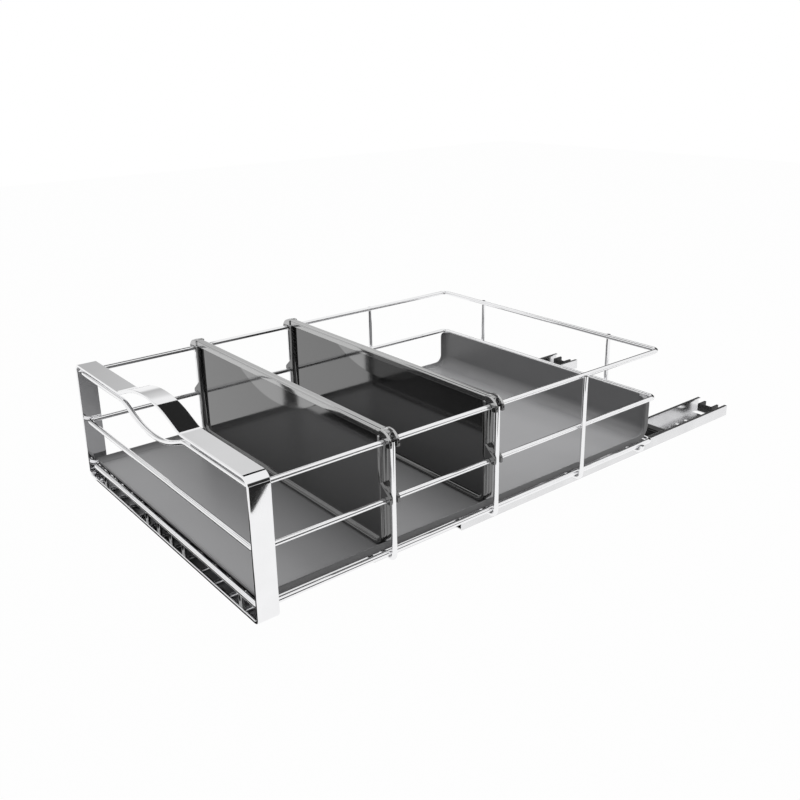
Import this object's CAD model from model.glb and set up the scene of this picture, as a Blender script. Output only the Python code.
# %% [markdown]
# # A pull-out wire basket
# This lesson dresses a basket that runs on two drawer slides. The frame below brings the pieces at
# their true size, each on the body that it moves with. Every cell after it makes one piece or one
# finish. The pieces that are seen closely are modelled again with softer edges, and the small
# hidden ones keep their exact shape and get a finish.

import math

import bmesh
import bpy
from mathutils import Matrix, Vector


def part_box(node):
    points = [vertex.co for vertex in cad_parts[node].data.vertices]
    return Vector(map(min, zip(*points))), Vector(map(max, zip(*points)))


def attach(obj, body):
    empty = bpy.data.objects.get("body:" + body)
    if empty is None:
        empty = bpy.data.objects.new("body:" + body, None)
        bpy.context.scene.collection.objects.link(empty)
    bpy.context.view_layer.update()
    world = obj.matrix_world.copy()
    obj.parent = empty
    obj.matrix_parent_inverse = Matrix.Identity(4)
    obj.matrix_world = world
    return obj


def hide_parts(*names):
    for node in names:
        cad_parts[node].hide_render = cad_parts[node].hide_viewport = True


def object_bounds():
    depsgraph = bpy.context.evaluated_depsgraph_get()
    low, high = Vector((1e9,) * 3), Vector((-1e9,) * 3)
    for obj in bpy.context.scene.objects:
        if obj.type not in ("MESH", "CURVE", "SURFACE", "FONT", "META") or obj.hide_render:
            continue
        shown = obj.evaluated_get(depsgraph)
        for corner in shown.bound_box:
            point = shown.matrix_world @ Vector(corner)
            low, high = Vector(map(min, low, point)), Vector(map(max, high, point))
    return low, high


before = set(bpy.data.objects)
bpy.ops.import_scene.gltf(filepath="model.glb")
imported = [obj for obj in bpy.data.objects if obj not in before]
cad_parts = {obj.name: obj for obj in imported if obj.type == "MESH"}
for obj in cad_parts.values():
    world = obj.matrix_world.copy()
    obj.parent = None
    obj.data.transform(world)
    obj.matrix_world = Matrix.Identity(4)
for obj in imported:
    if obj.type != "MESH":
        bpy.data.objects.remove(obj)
cad_box = [list(corner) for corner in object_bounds()]
MM = 0.001
print("the basket fills", [round(high - low, 4) for low, high in zip(*cad_box)], "metres")

# %% [markdown]
# ## The camera
# A product camera looks down on the basket from its front right. Its place is in metres and its
# turn in degrees. The small shift lowers the frame without tilting the camera, so the uprights
# keep their perspective.

# %% Camera
CAMERA_PLACE = (0.7113, -0.7525, 0.43325)
CAMERA_TURN = (71.548, 0.946, 51.207)
CAMERA_LENS = 40.08
CAMERA_SHIFT = -0.05

camera_data = bpy.data.cameras.new("product_camera")
camera_data.lens = CAMERA_LENS
camera_data.sensor_width = 36.0
camera_data.shift_y = CAMERA_SHIFT
camera = bpy.data.objects.new("product_camera", camera_data)
camera.location = CAMERA_PLACE
camera.rotation_euler = [math.radians(angle) for angle in CAMERA_TURN]
bpy.context.scene.collection.objects.link(camera)
bpy.context.scene.camera = camera
bpy.context.scene.view_settings.view_transform = "Standard"
print("camera at", CAMERA_PLACE)

# %% [markdown]
# ## Writing shaders as sums
# Node trees are hard to read when each link is written out. A signal wraps one socket, so that
# `1 - mask * 0.5` adds its Math nodes by itself. Any other node comes from one method, which takes
# the node's type, its settings and the values or signals of its sockets.

# %% Shader helpers
class Signal:
    """A number or colour on its way through a node tree."""

    def __init__(self, recipe, socket):
        self.recipe = recipe
        self.socket = socket

    def combine(self, operation, first, second):
        return self.recipe.node("Math", {"operation": operation}, {0: first, 1: second})

    def __add__(self, other):
        return self.combine("ADD", self, other)

    def __sub__(self, other):
        return self.combine("SUBTRACT", self, other)

    def __rsub__(self, other):
        return self.combine("SUBTRACT", other, self)

    def __mul__(self, other):
        return self.combine("MULTIPLY", self, other)

    def most(self, other):
        return self.combine("MAXIMUM", self, other)

    __radd__ = __add__
    __rmul__ = __mul__


class Recipe:
    """A node tree, with one method that makes any node."""

    def __init__(self, owner):
        owner.use_nodes = True
        self.tree = owner.node_tree
        self.tree.nodes.clear()

    def node(self, kind, settings=None, values=None, out=0):
        made = self.tree.nodes.new("ShaderNode" + kind)
        for key, value in (settings or {}).items():
            setattr(made, key, value)
        for key, value in (values or {}).items():
            if isinstance(value, Signal):
                self.tree.links.new(value.socket, made.inputs[key])
            else:
                made.inputs[key].default_value = value
        return Signal(self, made.outputs[out])

    def smooth(self, signal, start, end):
        """0 before start, 1 after end, and a soft step between them."""
        return self.node(
            "MapRange",
            {"interpolation_type": "SMOOTHSTEP"},
            {"Value": signal, "From Min": start, "From Max": end},
        )

    def place(self, scale=(1.0, 1.0, 1.0)):
        """The piece's own coordinates, stretched by scale."""
        coordinates = self.node("TexCoord", out="Object")
        return self.node("Mapping", None, {"Vector": coordinates, "Scale": scale})

    def noise(self, size, scale=(1.0, 1.0, 1.0), detail=3.0):
        """Soft noise between 0 and 1, whose blotches are about size metres wide."""
        return self.node(
            "TexNoise", None, {"Vector": self.place(scale), "Scale": 1.0 / size, "Detail": detail}
        )

    def tones(self, mask, low, high):
        """A colour that goes from low to high as the mask goes from 0 to 1."""
        settings = {"data_type": "RGBA"}
        return self.node("Mix", settings, {"Factor": mask, "A": low, "B": high}, out="Result")

    def output(self, shader, kind="Material"):
        last = self.tree.nodes.new("ShaderNodeOutput" + kind)
        self.tree.links.new(shader.socket, last.inputs["Surface"])


def finish(name, sockets, bump=None, bump_height=0.0, bump_strength=1.0):
    """A material with one Principled shader. sockets maps socket names to values or signals."""
    material = bpy.data.materials.new(name)
    recipe = Recipe(material)
    values = sockets(recipe)
    if bump is not None:
        height = bump(recipe)
        values["Normal"] = recipe.node(
            "Bump", None, {"Height": height, "Distance": bump_height, "Strength": bump_strength}
        )
    recipe.output(recipe.node("BsdfPrincipled", None, values))
    return material


def grey(level, blue=1.0):
    return (level, level, level * blue, 1.0)


print("shader helpers ready")

# %% [markdown]
# ## The studio
# Chrome has no colour of its own: it shows the room. In a room that is white all over it looks
# like white paint, so a few black cards and the darker parts of the wall give it its dark streaks.
# Only reflections see them. The card above makes the dark band on the hump. Those at floor height
# darken the inside of the frame's foot and draw the wedge below its right corner. The dark part of
# the wall at the back outlines the wires there. The camera sees plain white, and matt surfaces get
# soft light, most of it from above.

# %% Studio
FLOOR_SIZE = 6.0
FLOOR_GLOW = 0.985
FLOOR_GREY = 0.2
SKY_LIGHT = 0.85
HORIZON_LIGHT = 0.05
WALL_LIGHT = 0.96
RIGHT_SHADE = 0.93
LEFT_SHADE = 0.25
BACK_SHADE = 0.96
CARD_LIGHT = 0.02
CARD_HEIGHT = cad_box[0][2] + 0.5 * MM


def staged_plane(name, low_x, high_x, low_y, high_y, z, turned=0.0):
    """A flat sheet that belongs to the studio, turned about its middle by some degrees."""
    bm = bmesh.new()
    bmesh.ops.create_grid(bm, x_segments=1, y_segments=1, size=0.5)
    bmesh.ops.scale(bm, vec=(high_x - low_x, high_y - low_y, 1.0), verts=bm.verts)
    bmesh.ops.rotate(bm, matrix=Matrix.Rotation(math.radians(turned), 3, "Z"), verts=bm.verts)
    middle = ((low_x + high_x) / 2, (low_y + high_y) / 2, z)
    bmesh.ops.translate(bm, vec=middle, verts=bm.verts)
    mesh = bpy.data.meshes.new(name)
    bm.to_mesh(mesh)
    bm.free()
    sheet = bpy.data.objects.new(name, mesh)
    bpy.context.scene.collection.objects.link(sheet)
    return sheet


def backdrop_rays(recipe):
    """1 for rays that should see plain white: from the camera, in glass and in gloss."""
    camera_ray = recipe.node("LightPath", out="Is Camera Ray")
    glossy_ray = recipe.node("LightPath", out="Is Glossy Ray")
    clear_ray = recipe.node("LightPath", out="Is Transmission Ray")
    return camera_ray.most(glossy_ray).most(clear_ray)


half_floor = FLOOR_SIZE / 2
floor = staged_plane("floor", -half_floor, half_floor, -half_floor, half_floor, cad_box[0][2])
floor_paint = bpy.data.materials.new("floor_paint")
paint = Recipe(floor_paint)
matt = paint.node("BsdfDiffuse", None, {"Color": grey(FLOOR_GREY)})
glow = paint.node("Emission", None, {"Color": grey(1.0), "Strength": 1.0})
paint.output(
    paint.node("MixShader", None, {0: backdrop_rays(paint) * FLOOR_GLOW, 1: matt, 2: glow})
)
floor.data.materials.append(floor_paint)

black_card = bpy.data.materials.new("black_card")
paint = Recipe(black_card)
paint.output(paint.node("Emission", None, {"Color": grey(1.0), "Strength": CARD_LIGHT}))
# Each card's low and high X, low and high Y and height, and its turn in degrees if it has one.
BLACK_CARDS = {
    "card_above_left": (-0.45, -0.05, -0.4, -0.1, 0.6),
    "card_before_foot": (-0.2, 0.17, -0.58, -0.478, CARD_HEIGHT),
    "card_under_basket": (-0.115, 0.115, -0.47, 0.02, CARD_HEIGHT),
    "card_far_right": (0.62, 2.9, -0.35, 0.8, CARD_HEIGHT),
    "card_near_right": (0.394, 0.754, -0.404, -0.204, CARD_HEIGHT, 47.0),
}
for name, edges in BLACK_CARDS.items():
    card = staged_plane(name, *edges)
    card.data.materials.append(black_card)
    card.visible_camera = False
    card.visible_diffuse = False
    card.visible_transmission = False
    card.visible_shadow = False


def between(signal, rise, fall):
    """1 between two soft steps, each given by its start and end, and 0 outside them."""
    recipe = signal.recipe
    return recipe.smooth(signal, *rise) * (1 - recipe.smooth(signal, *fall))


room = bpy.data.worlds.new("studio")
bpy.context.scene.world = room
sky = Recipe(room)
# The way that a ray leaves in, from -1 to 1 along X, Y and Z.
way = sky.node("TexCoord", out="Generated")
across = sky.node("SeparateXYZ", None, {0: way}, out="X")
away = sky.node("SeparateXYZ", None, {0: way}, out="Y")
up = sky.node("SeparateXYZ", None, {0: way}, out="Z")
right_patch = sky.smooth(across, 0.72, 0.8) * between(up, (-0.02, 0.02), (0.4, 0.5))
left_wall = 1 - sky.smooth(across, -0.8, -0.5)
left_side = 1 - sky.smooth(across, -0.94, -0.82)
left_patch = between(up, (0.12, 0.26), (0.42, 0.55)) * (left_wall + left_side)
back_wall = sky.smooth(away, 0.6, 0.68) * (1 - sky.smooth(across, 0.1, 0.3))
back_patch = back_wall * (1 - sky.smooth(up, 0.5, 0.62))
front_and_sides = WALL_LIGHT - right_patch * RIGHT_SHADE - left_patch * LEFT_SHADE
mirrored = front_and_sides * (1 - back_patch * BACK_SHADE)
soft = HORIZON_LIGHT + (SKY_LIGHT - HORIZON_LIGHT) * sky.smooth(up, 0.2, 0.9)
is_glossy = sky.node("LightPath", out="Is Glossy Ray")
is_camera = sky.node("LightPath", out="Is Camera Ray").most(
    sky.node("LightPath", out="Is Transmission Ray")
)
level = is_camera + (1 - is_camera) * (is_glossy * mirrored + (1 - is_glossy) * soft)
sky.output(sky.node("Background", None, {"Color": grey(1.0), "Strength": level}), "World")


def soft_light(name, size, power, place, target):
    """A square lamp that faces a point and doesn't show in reflections."""
    lamp_data = bpy.data.lights.new(name, "AREA")
    lamp_data.size = size
    lamp_data.energy = power
    lamp = bpy.data.objects.new(name, lamp_data)
    lamp.location = place
    lamp.rotation_euler = (Vector(target) - Vector(place)).to_track_quat("-Z", "Y").to_euler()
    lamp.visible_glossy = False
    lamp.visible_camera = False
    bpy.context.scene.collection.objects.link(lamp)
    return lamp


soft_light("overhead", 1.4, 23.0, (0.0, 0.3, 1.7), (0.0, -0.1, 0.0))
soft_light("rear_top", 0.4, 2.5, (0.05, 0.18, 0.7), (0.05, 0.1, 0.0))
soft_light("front_fill", 1.2, 0.6, (0.5, -1.6, 0.9), (0.0, -0.2, 0.05))
print("studio: a floor,", len(BLACK_CARDS), "cards, a world and three lamps")

# %% [markdown]
# ## Finishes
# Chrome is a full metal with hardly any roughness. What makes it real is a faint waviness, as the
# plating follows the drawn wire under it, and a little haze. The slides are zinc plated, which is
# duller and has fine lines along the rolling direction. The short posts are only thinly plated, and
# stay darker. The tray is a satin moulding with a fine grain. The dividers are smoked and glossy,
# nearly a mirror, and paler along the cap. Their finish is made beside them, as it follows their
# sizes.

# %% Finishes
CHROME_WAVE_DEPTH = 0.006 * MM


def chrome(name, wave):
    """Bright plate. wave is the length of its waviness, in metres."""

    def sockets(recipe):
        haze = recipe.noise(0.02, detail=4.0)
        return {
            "Base Color": recipe.tones(haze, grey(0.86, 1.01), grey(0.92, 1.01)),
            "Metallic": 1.0,
            "Roughness": 0.02 + 0.05 * haze,
        }

    return finish(name, sockets, lambda recipe: recipe.noise(wave, detail=1.0), CHROME_WAVE_DEPTH)


def zinc_sockets(recipe):
    lines = recipe.noise(1.5 * MM, (1.0, 0.03, 1.0), 4.0)
    cloud = recipe.noise(0.03)
    return {
        "Base Color": recipe.tones(cloud, grey(0.72, 1.01), grey(0.86, 1.01)),
        "Metallic": 1.0,
        "Roughness": 0.14 + 0.14 * lines,
    }


def zinc_lines(recipe):
    return recipe.noise(0.8 * MM, (1.0, 0.02, 1.0), 2.0)


def tray_sockets(recipe):
    cloud = recipe.noise(0.08)
    return {
        "Base Color": recipe.tones(cloud, grey(0.2, 1.02), grey(0.23, 1.02)),
        "Roughness": 0.28 + 0.08 * recipe.noise(0.02),
        "IOR": 1.5,
    }


def grain(recipe):
    return recipe.noise(0.6 * MM, detail=2.0)


def black_sockets(recipe):
    return {
        "Base Color": recipe.tones(recipe.noise(4 * MM), grey(0.012), grey(0.022)),
        "Roughness": 0.35 + 0.15 * recipe.noise(3 * MM),
    }


def steel_sockets(recipe):
    return {
        "Base Color": recipe.tones(recipe.noise(5 * MM), grey(0.5), grey(0.62)),
        "Metallic": 1.0,
        "Roughness": 0.2 + 0.15 * recipe.noise(2 * MM),
    }


def post_sockets(recipe):
    return {
        "Base Color": recipe.tones(recipe.noise(5 * MM), grey(0.3), grey(0.42)),
        "Metallic": 1.0,
        "Roughness": 0.1 + 0.1 * recipe.noise(2 * MM),
    }


strap_chrome = chrome("strap_chrome", 0.03)
wire_chrome = chrome("wire_chrome", 0.02)
thin_chrome = finish("thin_chrome", post_sockets)
zinc = finish("zinc_plate", zinc_sockets, zinc_lines, 0.01 * MM, 0.5)
tray_plastic = finish("tray_plastic", tray_sockets, grain, 0.02 * MM, 0.4)
black_plastic = finish("black_plastic", black_sockets, grain, 0.05 * MM)
cage_steel = finish("cage_steel", steel_sockets, grain, 0.01 * MM)
print("finishes:", [material.name for material in bpy.data.materials])

# %% [markdown]
# ## Turning meshes into pieces
# Each piece is made in a bmesh at its own place, so its object stays at the origin. Its faces are
# smooth, and a Weighted Normal modifier keeps the large flats flat beside their rounded edges.

# %% Piece helpers
def make_piece(name, bm, material, body, slot, *replaced):
    """Turns a bmesh into a piece that rides on a body and stands for its nodes."""
    bmesh.ops.remove_doubles(bm, verts=bm.verts, dist=1e-6)
    bmesh.ops.recalc_face_normals(bm, faces=bm.faces)
    mesh = bpy.data.meshes.new(name)
    bm.to_mesh(mesh)
    bm.free()
    mesh.materials.append(material)
    mesh.polygons.foreach_set("use_smooth", [True] * len(mesh.polygons))
    piece = bpy.data.objects.new(name, mesh)
    bpy.context.scene.collection.objects.link(piece)
    shading = piece.modifiers.new("flat_faces", "WEIGHTED_NORMAL")
    shading.keep_sharp = True
    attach(piece, body)
    if replaced:
        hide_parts(*replaced)
    print(f"{name}: {len(mesh.polygons)} faces on {body}")
    return piece


def loop_edges(verts):
    """The edges that join these vertices to each other."""
    inside = set(verts)
    return list({edge for vert in verts for edge in vert.link_edges if edge.other_vert(vert) in inside})


def push(bm, verts, step):
    """Extrudes a loop of vertices by a step and returns the new loop."""
    made = bmesh.ops.extrude_edge_only(bm, edges=loop_edges(verts))["geom"]
    moved = [item for item in made if isinstance(item, bmesh.types.BMVert)]
    bmesh.ops.translate(bm, vec=step, verts=moved)
    return moved


def turn(bm, verts, centre, axis, angle, steps):
    """Spins a loop of vertices about an axis and returns the last loop."""
    last = bmesh.ops.spin(
        bm,
        geom=verts + loop_edges(verts),
        cent=centre,
        axis=axis,
        angle=angle,
        steps=steps,
    )["geom_last"]
    return [item for item in last if isinstance(item, bmesh.types.BMVert)]


def standing(at, side, ahead):
    """A matrix that puts a flat section at a point, its X along side, facing ahead."""
    return Matrix.Translation(at) @ Matrix((side, ahead.cross(side), ahead)).transposed().to_4x4()


class Path:
    """Corner points with bend radii, walked from the middle of one straight to the next."""

    def __init__(self, corners, closed=False):
        self.points = [Vector(corner[:3]) for corner in corners]
        self.bends = [corner[3] if len(corner) > 3 else 0.0 for corner in corners]
        self.closed = closed

    def heading(self, i):
        count = len(self.points)
        return (self.points[(i + 1) % count] - self.points[i % count]).normalized()

    def angle(self, i):
        return self.heading(i - 1).angle(self.heading(i), 0.0)

    def cut(self, i):
        i = i % len(self.points)
        if not self.closed and i in (0, len(self.points) - 1):
            return 0.0
        return self.bends[i] * math.tan(self.angle(i) / 2)


ROUND_STEP = math.radians(11)
ARC_STEP = 3 * MM


def sweep(bm, verts, path):
    """Carries a loop of vertices, which stands at the path's start, along the whole path."""
    count = len(path.points)
    for i in range(count if path.closed else count - 1):
        ahead = path.heading(i)
        length = (path.points[(i + 1) % count] - path.points[i]).length
        verts = push(bm, verts, ahead * (length - path.cut(i) - path.cut(i + 1)))
        corner = (i + 1) % count
        if path.cut(corner) == 0.0:
            continue
        leaving = path.heading(corner)
        inward = (leaving - leaving.dot(ahead) * ahead).normalized()
        start = path.points[corner] - ahead * path.cut(corner)
        angle = path.angle(corner)
        steps = max(2, math.ceil(angle / ROUND_STEP), math.ceil(angle * path.bends[corner] / ARC_STEP))
        verts = turn(
            bm, verts, start + inward * path.bends[corner], ahead.cross(inward), angle, steps
        )
    return verts


def path_start(path):
    return path.points[0] + path.heading(0) * path.cut(0)


def rounded(bm, half_x, half_y, corner, segments, place):
    """A rounded rectangle: a small circle whose quarters are pushed out to the corners."""
    spin = Matrix.Rotation(math.pi / segments, 4, "Z")
    made = bmesh.ops.create_circle(bm, segments=segments, radius=corner, matrix=spin)["verts"]
    for vert in made:
        vert.co.x += math.copysign(half_x - corner, vert.co.x)
        vert.co.y += math.copysign(half_y - corner, vert.co.y)
    bmesh.ops.transform(bm, matrix=place, verts=made)
    return made


print("piece helpers ready")

# %% [markdown]
# ## The front frame
# The pull is one loop of flat steel strap. A hump in its top bar is the grip. The strap is drawn,
# so its long edges are round, and those edges catch the light. A rounded section is swept round
# the loop: the straights are extruded and the bends are spun.

# %% Front frame
STRAP_T = 3 * MM
STRAP_EDGE_R = 0.9 * MM
TOP_CORNER_R = 9 * MM
FOOT_CORNER_R = 6 * MM
HUMP_W = 139 * MM
HUMP_RISE = 15 * MM
SHOULDER = (117 / 44, 125 / 44)
BEND_PER_TANGENT = 5.5
FOOT_TANGENT = 6 * MM


def bump(width, rise, y, z):
    """Four corners of a hump or dip. SHOULDER is its shoulder's run and slant for a rise of 1."""
    run, slant = (abs(rise) * side for side in SHOULDER)
    base = width / 2 - FOOT_TANGENT
    crown = base - run
    crown_tangent = math.floor(min(crown, slant - FOOT_TANGENT) / MM) * MM
    foot_r, crown_r = BEND_PER_TANGENT * FOOT_TANGENT, BEND_PER_TANGENT * crown_tangent
    corners = [(-base, 0.0, foot_r), (-crown, rise, crown_r), (crown, rise, crown_r), (base, 0.0, foot_r)]
    return [(x, y, z + climb, radius) for x, climb, radius in corners]


low_corner, high_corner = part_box("front_frame")
half_t = STRAP_T / 2
strap_x = high_corner.x - half_t
strap_y = (low_corner.y + high_corner.y) / 2
foot_z = low_corner.z + half_t
bar_z = high_corner.z - HUMP_RISE - half_t
strap_path = Path(
    [
        (strap_x, strap_y, foot_z, FOOT_CORNER_R - half_t),
        (-strap_x, strap_y, foot_z, FOOT_CORNER_R - half_t),
        (-strap_x, strap_y, bar_z, TOP_CORNER_R - half_t),
        *bump(HUMP_W, HUMP_RISE, strap_y, bar_z),
        (strap_x, strap_y, bar_z, TOP_CORNER_R - half_t),
    ],
    closed=True,
)
bm = bmesh.new()
ahead = strap_path.heading(0)
section = rounded(
    bm,
    half_t,
    (high_corner.y - low_corner.y) / 2,
    STRAP_EDGE_R,
    24,
    standing(path_start(strap_path), Vector((0.0, 1.0, 0.0)).cross(ahead), ahead),
)
sweep(bm, section, strap_path)
make_piece("strap_frame", bm, strap_chrome, "basket", "chrome_strap", "front_frame")

# %% [markdown]
# ## The wires
# Every wire is the same tube on another path. The boxes of the frame give each wire's ends, so
# only the bend radii are written here. An open wire ends in a flat cut with a narrow rim, so that
# its edge looks softened.

# %% Wires
WIRE_SEGMENTS = 20
WIRE_END_RIM = 0.8
RING_BEND_R = 6 * MM
DIP_W = 139 * MM
WIRE_R = (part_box("middle_ring")[1].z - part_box("middle_ring")[0].z) / 2
FLOOR_WIRE_R = (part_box("floor_wires")[1].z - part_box("floor_wires")[0].z) / 2


def tube(bm, corners, radius, closed=False):
    """Adds a round wire along corner points to a bmesh."""
    path = Path(corners, closed)
    ahead = path.heading(0)
    side = ahead.orthogonal().normalized()
    place = standing(path_start(path), side, ahead)
    start = rounded(bm, radius, radius, radius, WIRE_SEGMENTS, place)
    end = sweep(bm, start, path)
    if closed:
        return
    for loop in (start, end):
        middle = sum((vert.co for vert in loop), Vector()) / len(loop)
        rim = push(bm, loop, (0.0, 0.0, 0.0))
        bmesh.ops.scale(bm, vec=[WIRE_END_RIM] * 3, space=Matrix.Translation(-middle), verts=rim)
        bmesh.ops.contextual_create(bm, geom=loop_edges(rim))


def wire_piece(name, body, corners, radius, closed=False):
    bm = bmesh.new()
    tube(bm, corners, radius, closed)
    return make_piece(name, bm, wire_chrome, body, "chrome_wire", name.removesuffix("_tube"))


def ring_corners(node, z, front=()):
    """The four bends of a ring, with any further corners in its front stretch."""
    low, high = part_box(node)
    x = high.x - WIRE_R
    front_y, back_y = low.y + WIRE_R, high.y - WIRE_R
    left_front = (-x, front_y, z, RING_BEND_R)
    rest = [(x, front_y, z, RING_BEND_R), (x, back_y, z, RING_BEND_R), (-x, back_y, z, RING_BEND_R)]
    return [left_front, *front, *rest]


top_low, top_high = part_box("top_ring")
top_z = top_high.z - WIRE_R
dip = bump(DIP_W, top_low.z + WIRE_R - top_z, top_low.y + WIRE_R, top_z)
wire_piece("top_ring_tube", "basket", ring_corners("top_ring", top_z, dip), WIRE_R, True)
for ring in ("middle_ring", "bottom_ring"):
    ring_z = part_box(ring)[0].z + WIRE_R
    wire_piece(ring + "_tube", "basket", ring_corners(ring, ring_z), WIRE_R, True)

CROSS_WIRES = ("front_cross_wire", "middle_cross_wire", "rear_cross_wire", "rear_floor_wire")
CROSS_BEND_R = 2 * WIRE_R + 0.05 * MM
for cross in CROSS_WIRES:
    low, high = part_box(cross)
    x, y, z = high.x - WIRE_R, (low.y + high.y) / 2, low.z + WIRE_R
    corners = [(-x, y, high.z), (-x, y, z, CROSS_BEND_R), (x, y, z, CROSS_BEND_R), (x, y, high.z)]
    wire_piece(cross + "_tube", "basket", corners, WIRE_R)

for back in ("left_back_wire", "right_back_wire"):
    low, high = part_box(back)
    x, y = (low.x + high.x) / 2, (low.y + high.y) / 2
    wire_piece(back + "_tube", "basket", [(x, y, low.z), (x, y, high.z)], WIRE_R)

FLOOR_WIRE_COUNT = 12
POST_PLACES = (0, 4, 5, 6, 7, 11)
low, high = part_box("floor_wires")
first_x = low.x + FLOOR_WIRE_R
pitch = (high.x - low.x - 2 * FLOOR_WIRE_R) / (FLOOR_WIRE_COUNT - 1)
floor_wire_xs = [first_x + i * pitch for i in range(FLOOR_WIRE_COUNT)]
floor_wire_z = low.z + FLOOR_WIRE_R
bm = bmesh.new()
for x in floor_wire_xs:
    tube(bm, [(x, low.y, floor_wire_z), (x, high.y, floor_wire_z)], FLOOR_WIRE_R)
make_piece("floor_wire_rows", bm, wire_chrome, "basket", "chrome_wire", "floor_wires")

low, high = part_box("frame_posts")
post_y = (low.y + high.y) / 2
bm = bmesh.new()
for i in POST_PLACES:
    x = floor_wire_xs[i]
    tube(bm, [(x, post_y, low.z), (x, post_y, high.z)], FLOOR_WIRE_R)
make_piece("short_posts", bm, thin_chrome, "basket", "chrome_wire", "frame_posts")

# %% [markdown]
# ## The liner tray
# The tray is one thin moulding. Its floor has a hollow cove and a lip along each side, and the
# same section runs on up the rear wall. So the section is drawn once, as eight points whose
# corners are rounded by a vertex bevel, and then pushed along the floor, spun round the rear
# crease and pushed up the wall. Near the top its two ends draw in, which rounds the corners.

# %% Liner tray
TRAY_T = 1.8 * MM
LIP_T = 1.6 * MM
LIP_H = 5.4 * MM
COVE_FOOT = 1.6 * MM
COVE_CUT = 4 * MM
CREASE_R = 15 * MM
CREASE_STEPS = 10
TRAY_CORNER_R = 8 * MM
CORNER_STEPS = 8
FRONT_LIP_H = 1.6 * MM
FOOT_EDGE_CUT = 1.4 * MM
LIP_EDGE_CUT = 0.5 * MM
FRONT_LIP_INSET = 2 * MM


def round_corners(bm, verts, cut, segments):
    """Rounds corner points of a flat outline, cut metres along each side."""
    bmesh.ops.bevel(
        bm,
        geom=verts,
        offset=cut,
        offset_type="OFFSET",
        segments=segments,
        profile=0.5,
        affect="VERTICES",
        material=-1,
    )


low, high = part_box("liner_tray")
half_w = high.x
lip_top = TRAY_T + LIP_H
outline = [
    (-half_w, 0.0), (half_w, 0.0), (half_w, lip_top), (half_w - LIP_T, lip_top),
    (half_w - LIP_T - COVE_FOOT, TRAY_T), (-half_w + LIP_T + COVE_FOOT, TRAY_T),
    (-half_w + LIP_T, lip_top), (-half_w, lip_top),
]
bm = bmesh.new()
points = [bm.verts.new((x, low.y, low.z + z)) for x, z in outline]
bm.faces.new(points)
round_corners(bm, [points[4], points[5]], COVE_CUT, 8)
corner_verts = [v for v in bm.verts if abs(abs(v.co.x) - half_w) < 1e-7 and v.co.z < low.z + TRAY_T]
round_corners(bm, corner_verts, FOOT_EDGE_CUT, 4)
lip_verts = [v for v in bm.verts if v.co.z > low.z + lip_top - 1e-7]
round_corners(bm, lip_verts, LIP_EDGE_CUT, 3)
bmesh.ops.delete(bm, geom=list(bm.faces), context="FACES_ONLY")
section = list(bm.verts)

bend = CREASE_R + TRAY_T
knee_y = high.y - bend
section = push(bm, section, (0.0, knee_y - low.y, 0.0))
knee = (0.0, knee_y, low.z + bend)
section = turn(bm, section, knee, (1.0, 0.0, 0.0), math.pi / 2, CREASE_STEPS)
section = push(bm, section, (0.0, 0.0, high.z - low.z - bend - TRAY_CORNER_R))
flat_half = half_w - LIP_T - COVE_FOOT - COVE_CUT
for step in range(CORNER_STEPS):
    before, after = (math.radians(90 * share / CORNER_STEPS) for share in (step, step + 1))
    rise = TRAY_CORNER_R * (math.sin(after) - math.sin(before))
    draw_in = TRAY_CORNER_R * (math.cos(before) - math.cos(after))
    section = push(bm, section, (0.0, 0.0, rise))
    for vert in section:
        if abs(vert.co.x) > flat_half - TRAY_CORNER_R:
            vert.co.x -= math.copysign(draw_in, vert.co.x)
bmesh.ops.holes_fill(bm, edges=[edge for edge in bm.edges if edge.is_boundary])
bar = bmesh.ops.create_cube(bm, size=1.0)["verts"]
bar_h = TRAY_T + FRONT_LIP_H
bmesh.ops.scale(bm, vec=(2 * (half_w - FRONT_LIP_INSET), TRAY_T, bar_h), verts=bar)
bmesh.ops.translate(bm, vec=(0.0, low.y + TRAY_T / 2, low.z + bar_h / 2), verts=bar)
make_piece("tray_moulding", bm, tray_plastic, "basket", "tray_plastic", "liner_tray")

# %% [markdown]
# ## The dividers
# Each divider is one glossy moulding: a thin panel in a deep rim, a cap along its top, a lens
# shaped bulge to grip, and a pair of forked hooks at each side that straddle the wires. Each of
# these is drawn as an outline seen from the front, its corners rounded, and pulled to its depth.

# %% Dividers
DIVIDER_X = 167.5 * MM
RIM_W = 3.5 * MM
RIM_DEPTH = 11.6 * MM
RIM_CORNER_R = 12 * MM
RIM_GROOVES = (-3.8 * MM, 0.0, 3.8 * MM)
GROOVE_W = 0.8 * MM
PANEL_T = 3 * MM
FLARE_ACROSS = 3.5 * MM
FLARE_DEPTH = 2.7 * MM
FLARE_STEPS = 6
CAP_H = 6.7 * MM
CAP_DEPTH = 8.6 * MM
CAP_OVERHANG = 2 * MM
BULGE_DROP = 19 * MM
BULGE_W = 140 * MM
BULGE_R = (BULGE_W ** 2 / 4 + BULGE_DROP ** 2) / (2 * BULGE_DROP)
BULGE_T = 8 * MM
BULGE_EDGE_R = 3.6 * MM
SLOT_HALF = 2.8 * MM
PRONG_T = 2.8 * MM
CLAW_R = 11 * MM
ARCH_R = 2.8 * MM
ARCH_CUT = ARCH_R * 0.98
CLAW_DROP = 4 * MM
HOOK_RISE = 11 * MM
HOOK_DROP = 2 * MM
HOOK_INSET = 1 * MM
BROW_RISE = 1.5 * MM
CAP_EDGE_R = 2.4 * MM
CAP_FOOT_R = 0.5 * MM
PRONG_EDGE_R = 1.1 * MM
RIM_EDGE_CUT = 0.9 * MM
TIP_IN_CUT = 0.6 * MM
TIP_OUT_CUT = 1.5 * MM
HOOK_TIP_CUT = 0.8 * MM
WEB_SHOULDER = (3.5 * MM, 0.7 * MM)
WEB_CUT = 1 * MM
ROOT_SINK = 1 * MM
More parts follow.
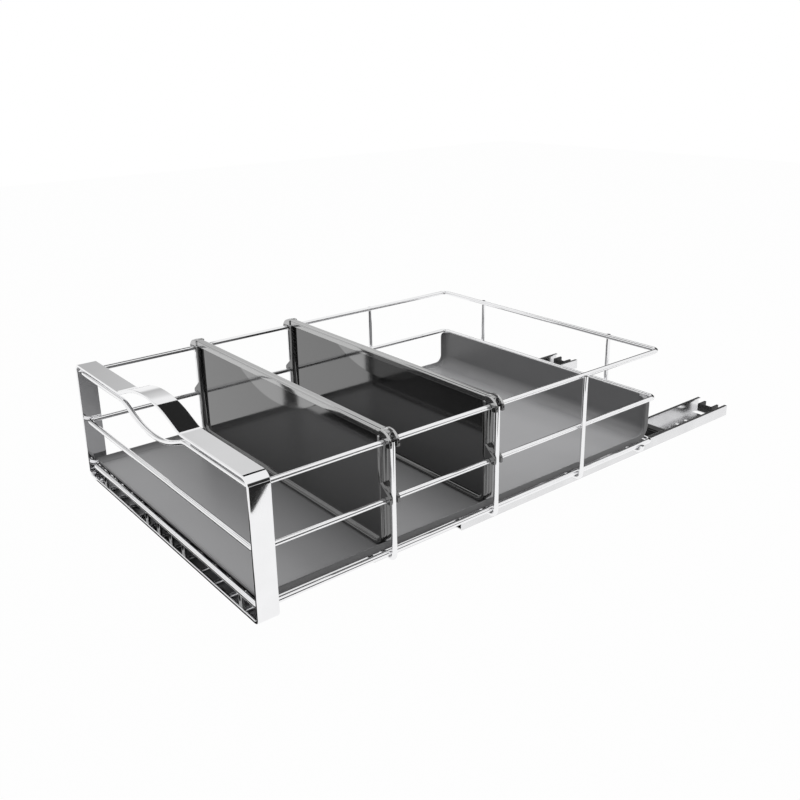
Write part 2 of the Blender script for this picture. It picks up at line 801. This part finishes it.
SINK = 0.5 * MM
SHARP = math.radians(35)
CAP_FADE = 0.3 * MM
BULGE_FADE = (-0.5 * MM, 1.5 * MM)
BULGE_PALENESS = 0.35


def smoked_sockets(recipe):
    coordinates = recipe.node("TexCoord", out="Object")
    across = recipe.node("SeparateXYZ", None, {0: coordinates}, out="X")
    height = recipe.node("SeparateXYZ", None, {0: coordinates}, out="Z")
    cap_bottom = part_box("front_divider")[1].z - CAP_H
    on_cap = recipe.smooth(height, cap_bottom - CAP_FADE, cap_bottom + CAP_FADE)
    above_middle = height - (cap_bottom - BULGE_DROP + BULGE_R)
    inside = BULGE_R ** 2 - across * across - above_middle * above_middle
    on_bulge = recipe.smooth(inside * (0.5 / BULGE_R), *BULGE_FADE)
    pale = on_cap.most(on_bulge * BULGE_PALENESS)
    haze = recipe.noise(0.03, detail=4.0)
    return {
        "Base Color": recipe.tones(pale, grey(0.18), grey(0.5)),
        "Metallic": 0.9,
        "Roughness": 0.04 + 0.06 * haze,
    }


smoked = finish("smoked_plastic", smoked_sockets, lambda recipe: recipe.noise(0.04), 0.02 * MM)


def slab(outline, front_y, depth, soften=0.0):
    """Pulls a flat outline of (x, z, corner cut) points to a depth and softens its edges."""
    part = bmesh.new()
    points = [part.verts.new((x, front_y, z)) for x, z, cut in outline]
    part.faces.new(points)
    for point, (x, z, cut) in zip(points, outline):
        if cut > 0.0:
            round_corners(part, [point], cut, 8)
    return pulled(part, depth, soften)


def pulled(part, depth, soften=0.0, segments=3):
    """Gives a flat part its depth along Y and bevels its sharp edges."""
    made = bmesh.ops.extrude_face_region(part, geom=list(part.faces))["geom"]
    moved = [item for item in made if isinstance(item, bmesh.types.BMVert)]
    bmesh.ops.translate(part, vec=(0.0, depth, 0.0), verts=moved)
    bmesh.ops.recalc_face_normals(part, faces=part.faces)
    if soften > 0.0:
        sharp = [edge for edge in part.edges if edge.calc_face_angle() > SHARP]
        round_edges(part, sharp, soften, segments)
    return part


def round_edges(part, edges, radius, segments):
    bmesh.ops.bevel(
        part,
        geom=edges,
        offset=radius,
        segments=segments,
        profile=0.5,
        affect="EDGES",
        material=-1,
        clamp_overlap=True,
    )


def join(bm, part):
    """Adds one bmesh to another."""
    mesh = bpy.data.meshes.new("part")
    part.to_mesh(mesh)
    part.free()
    bm.from_mesh(mesh)
    bpy.data.meshes.remove(mesh)


def rim(y, bottom, cap_bottom):
    """The deep rim down one side, along the bottom and up the other side."""
    x = DIVIDER_X - RIM_W / 2
    z = bottom + RIM_W / 2
    bend = RIM_CORNER_R - RIM_W / 2
    path = Path([(-x, y, cap_bottom + SINK), (-x, y, z, bend), (x, y, z, bend), (x, y, cap_bottom + SINK)])
    half, outer = RIM_DEPTH / 2, -RIM_W / 2
    outline = [(-outer, -half), (-outer, half), (outer, half)]
    for groove in reversed(RIM_GROOVES):
        for edge, depth in ((1, 0), (1, 1), (-1, 1), (-1, 0)):
            outline.append((outer + depth * GROOVE_W, groove + edge * GROOVE_W / 2))
    outline.append((outer, -half))
    part = bmesh.new()
    points = [part.verts.new((x, across, 0.0)) for x, across in outline]
    part.faces.new(points)
    round_corners(part, [points[0], points[1], points[2], points[-1]], RIM_EDGE_CUT, 4)
    bmesh.ops.delete(part, geom=list(part.faces), context="FACES_ONLY")
    section = list(part.verts)
    place = standing(path_start(path), Vector((1.0, 0.0, 0.0)), path.heading(0))
    bmesh.ops.transform(part, matrix=place, verts=section)
    sweep(part, section, path)
    bmesh.ops.holes_fill(part, edges=[edge for edge in part.edges if edge.is_boundary])
    return part


def panel(y, bottom, cap_bottom):
    """The thin panel, which flares out softly to meet the rim and ends inside the cap."""
    x = DIVIDER_X - RIM_W + SINK
    z = bottom + RIM_W - SINK
    cut = RIM_CORNER_R - RIM_W
    head = cap_bottom + 2 * SINK + FLARE_ACROSS
    corners = [(-x, z, cut), (x, z, cut), (x, head, 0), (-x, head, 0)]
    part = slab(corners, y - PANEL_T / 2 - FLARE_DEPTH, PANEL_T + 2 * FLARE_DEPTH)
    for face in [f for f in part.faces if abs(f.normal.y) > 0.99]:
        bmesh.ops.inset_region(part, faces=[face], thickness=SINK, use_even_offset=True)
        for step in range(FLARE_STEPS):
            before, after = (math.radians(90 * share / FLARE_STEPS) for share in (step, step + 1))
            across = FLARE_ACROSS * (math.cos(before) - math.cos(after))
            down = FLARE_DEPTH * (math.sin(after) - math.sin(before))
            bmesh.ops.inset_region(
                part, faces=[face], thickness=across, depth=-down, use_even_offset=True
            )
    return part


def cap(y, cap_bottom, top):
    """The bar along the top. Its upper edges are well rounded and its lower ones only broken."""
    half = DIVIDER_X + CAP_OVERHANG
    corners = [(-half, cap_bottom, 0), (half, cap_bottom, 0), (half, top, 0), (-half, top, 0)]
    part = slab(corners, y - CAP_DEPTH / 2, CAP_DEPTH)
    for level, radius in ((top, CAP_EDGE_R), (cap_bottom, CAP_FOOT_R)):
        edges = [e for e in part.edges if all(abs(v.co.z - level) < 1e-6 for v in e.verts)]
        round_edges(part, edges, radius, 6)
    return part


def bulge(y, cap_bottom):
    """A lens that hangs under the cap: a large disc, cut off level with the cap."""
    place = Matrix.Translation((0.0, y - BULGE_T / 2, cap_bottom - BULGE_DROP + BULGE_R))
    part = bmesh.new()
    upright = place @ Matrix.Rotation(math.pi / 2, 4, "X")
    bmesh.ops.create_circle(part, cap_ends=True, segments=200, radius=BULGE_R, matrix=upright)
    bmesh.ops.bisect_plane(
        part,
        geom=[*part.verts, *part.edges, *part.faces],
        plane_co=(0.0, 0.0, cap_bottom + SINK),
        plane_no=(0.0, 0.0, 1.0),
        clear_outer=True,
    )
    return pulled(part, BULGE_T, BULGE_EDGE_R, 6)


def arch(x, z, foot):
    """The inside of a hook, which closes over a wire from its foot up."""
    return [
        (x - ARCH_R, foot, 0),
        (x - ARCH_R, z + ARCH_R, ARCH_CUT),
        (x + ARCH_R, z + ARCH_R, ARCH_CUT),
    ]


def divider(node, body):
    low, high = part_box(node)
    y = (low.y + high.y) / 2
    top = high.z
    cap_bottom = top - CAP_H
    bm = bmesh.new()
    join(bm, rim(y, low.z, cap_bottom))
    join(bm, panel(y, low.z, cap_bottom))
    join(bm, cap(y, cap_bottom, top))
    join(bm, bulge(y, cap_bottom))

    wire_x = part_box("top_ring")[1].x - WIRE_R
    fork_x = wire_x + WIRE_R
    root_x = DIVIDER_X - ROOT_SINK
    claw_x = high.x
    tip_z = top_z - CLAW_DROP
    inside = arch(wire_x, top_z, tip_z)
    claw = [
        (root_x, tip_z, 0), *inside, (wire_x + ARCH_R, tip_z, TIP_IN_CUT),
        (claw_x, tip_z, TIP_OUT_CUT), (claw_x, top, CLAW_R), (root_x, top, 0),
    ]
    claw_web = [
        (root_x, tip_z, 0), *inside[:2], (fork_x, top_z + ARCH_R, 0),
        (fork_x, top - WEB_SHOULDER[1], WEB_CUT), (fork_x - WEB_SHOULDER[0], top, 0),
        (root_x, top, 0),
    ]
    ring_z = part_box("middle_ring")[0].z + WIRE_R
    hook_foot = ring_z - HOOK_DROP
    brow = ring_z + WIRE_R + BROW_RISE
    hook_x = claw_x - HOOK_INSET
    slope = HOOK_RISE / (hook_x - DIVIDER_X)
    root_z = brow + slope * (hook_x - root_x)
    inside = arch(wire_x, ring_z, hook_foot)
    hook = [
        (root_x, hook_foot, 0), *inside, (wire_x + ARCH_R, hook_foot, TIP_IN_CUT),
        (hook_x, hook_foot, HOOK_TIP_CUT), (hook_x, brow, TIP_OUT_CUT), (root_x, root_z, 0),
    ]
    hook_web = [
        (root_x, hook_foot, 0), *inside[:2], (fork_x, ring_z + ARCH_R, 0),
        (fork_x, brow + slope * (hook_x - fork_x), 0), (root_x, root_z, 0),
    ]
    for side in (-1, 1):
        for shape in (claw, hook):
            outline = [(side * x, z, cut) for x, z, cut in shape]
            join(bm, slab(outline, y - SLOT_HALF - PRONG_T, PRONG_T, PRONG_EDGE_R))
            join(bm, slab(outline, y + SLOT_HALF, PRONG_T, PRONG_EDGE_R))
        for shape in (claw_web, hook_web):
            outline = [(side * x, z, cut) for x, z, cut in shape]
            join(bm, slab(outline, y - SLOT_HALF - SINK, 2 * (SLOT_HALF + SINK)))
    make_piece(node + "_moulding", bm, smoked, body, "divider_plastic", node)


divider("front_divider", "front_divider")
divider("rear_divider", "rear_divider")

# %% [markdown]
# ## The slides
# The slides keep their exact pressed shapes, so they only get their finishes.

# %% Slides
SLIDE_FINISHES = {
    "cabinet_member": zinc, "intermediate_member": zinc, "drawer_member": zinc, "carrier": zinc,
    "outer_ball_cage": cage_steel, "inner_ball_cage": cage_steel,
    "outer_balls": wire_chrome, "inner_balls": wire_chrome,
    "end_bumper": black_plastic, "runner_stop": black_plastic,
}
for side in ("left_", "right_"):
    for part, material in SLIDE_FINISHES.items():
        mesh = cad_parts[side + part].data
        mesh.materials.clear()
        mesh.materials.append(material)
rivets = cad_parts["carrier_rivets"].data
rivets.materials.clear()
rivets.materials.append(zinc)
print("slides finished")
